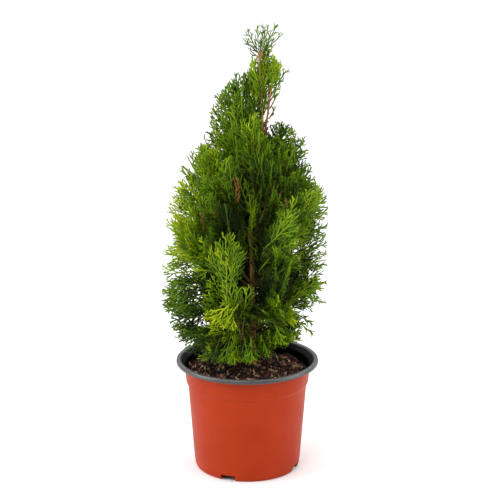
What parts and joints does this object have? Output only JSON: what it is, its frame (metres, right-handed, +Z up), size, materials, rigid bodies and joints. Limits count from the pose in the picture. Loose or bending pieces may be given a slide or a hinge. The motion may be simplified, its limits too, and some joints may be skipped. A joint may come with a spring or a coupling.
{
  "type": "potted arborvitae",
  "caption": "Young upright evergreen conifer with flat scaly sprays round a leaning trunk, in a terracotta-coloured nursery pot with a black rolled lip.",
  "frame": {"origin": "centre of the pot's flat underside", "axes": "+Z up along the pot's axis, -Y towards the picture's camera, +X to the right seen from there"},
  "size_m": [0.1983, 0.1796, 0.5354],
  "materials": {
    "terracotta_plastic": "satin thermoformed terracotta-coloured sheet",
    "black_plastic": "satin black inner skin and rolled lip, lightly dusted",
    "potting_soil": "rough dark peat with bark chips and fibres",
    "bark": "fibrous red-brown bark, olive towards the shoots",
    "foliage": "scaly yellow-green to deep green sprays"
  },
  "bodies": {
    "root": {"pot": "terracotta_plastic", "pot_lining": "black_plastic", "soil": "potting_soil", "trunk": "bark", "side_leader": "bark", "bough_skirt_1": "bark", "bough_skirt_2": "bark", "bough_skirt_3": "bark", "bough_skirt_4": "bark", "bough_skirt_5": "bark", "bough_low_1": "bark", "bough_low_2": "bark", "bough_low_3": "bark", "bough_low_4": "bark", "bough_low_5": "bark", "bough_middle_1": "bark", "bough_middle_2": "bark", "bough_middle_3": "bark", "bough_middle_4": "bark", "bough_middle_5": "bark", "bough_upper_1": "bark", "bough_upper_2": "bark", "bough_upper_3": "bark", "bough_upper_4": "bark", "bough_shoulder_1": "bark", "bough_shoulder_2": "bark", "bough_shoulder_3": "bark", "bough_shoulder_4": "bark", "foliage_skirt_1": "foliage", "foliage_skirt_2": "foliage", "foliage_skirt_3": "foliage", "foliage_skirt_4": "foliage", "foliage_skirt_5": "foliage", "foliage_low_1": "foliage", "foliage_low_2": "foliage", "foliage_low_3": "foliage", "foliage_low_4": "foliage", "foliage_low_5": "foliage", "foliage_middle_1": "foliage", "foliage_middle_2": "foliage", "foliage_middle_3": "foliage", "foliage_middle_4": "foliage", "foliage_middle_5": "foliage", "foliage_upper_1": "foliage", "foliage_upper_2": "foliage", "foliage_upper_3": "foliage", "foliage_upper_4": "foliage", "foliage_shoulder_1": "foliage", "foliage_shoulder_2": "foliage", "foliage_shoulder_3": "foliage", "foliage_shoulder_4": "foliage", "foliage_side_leader": "foliage", "foliage_tip": "foliage"}
  },
  "joints": []
}
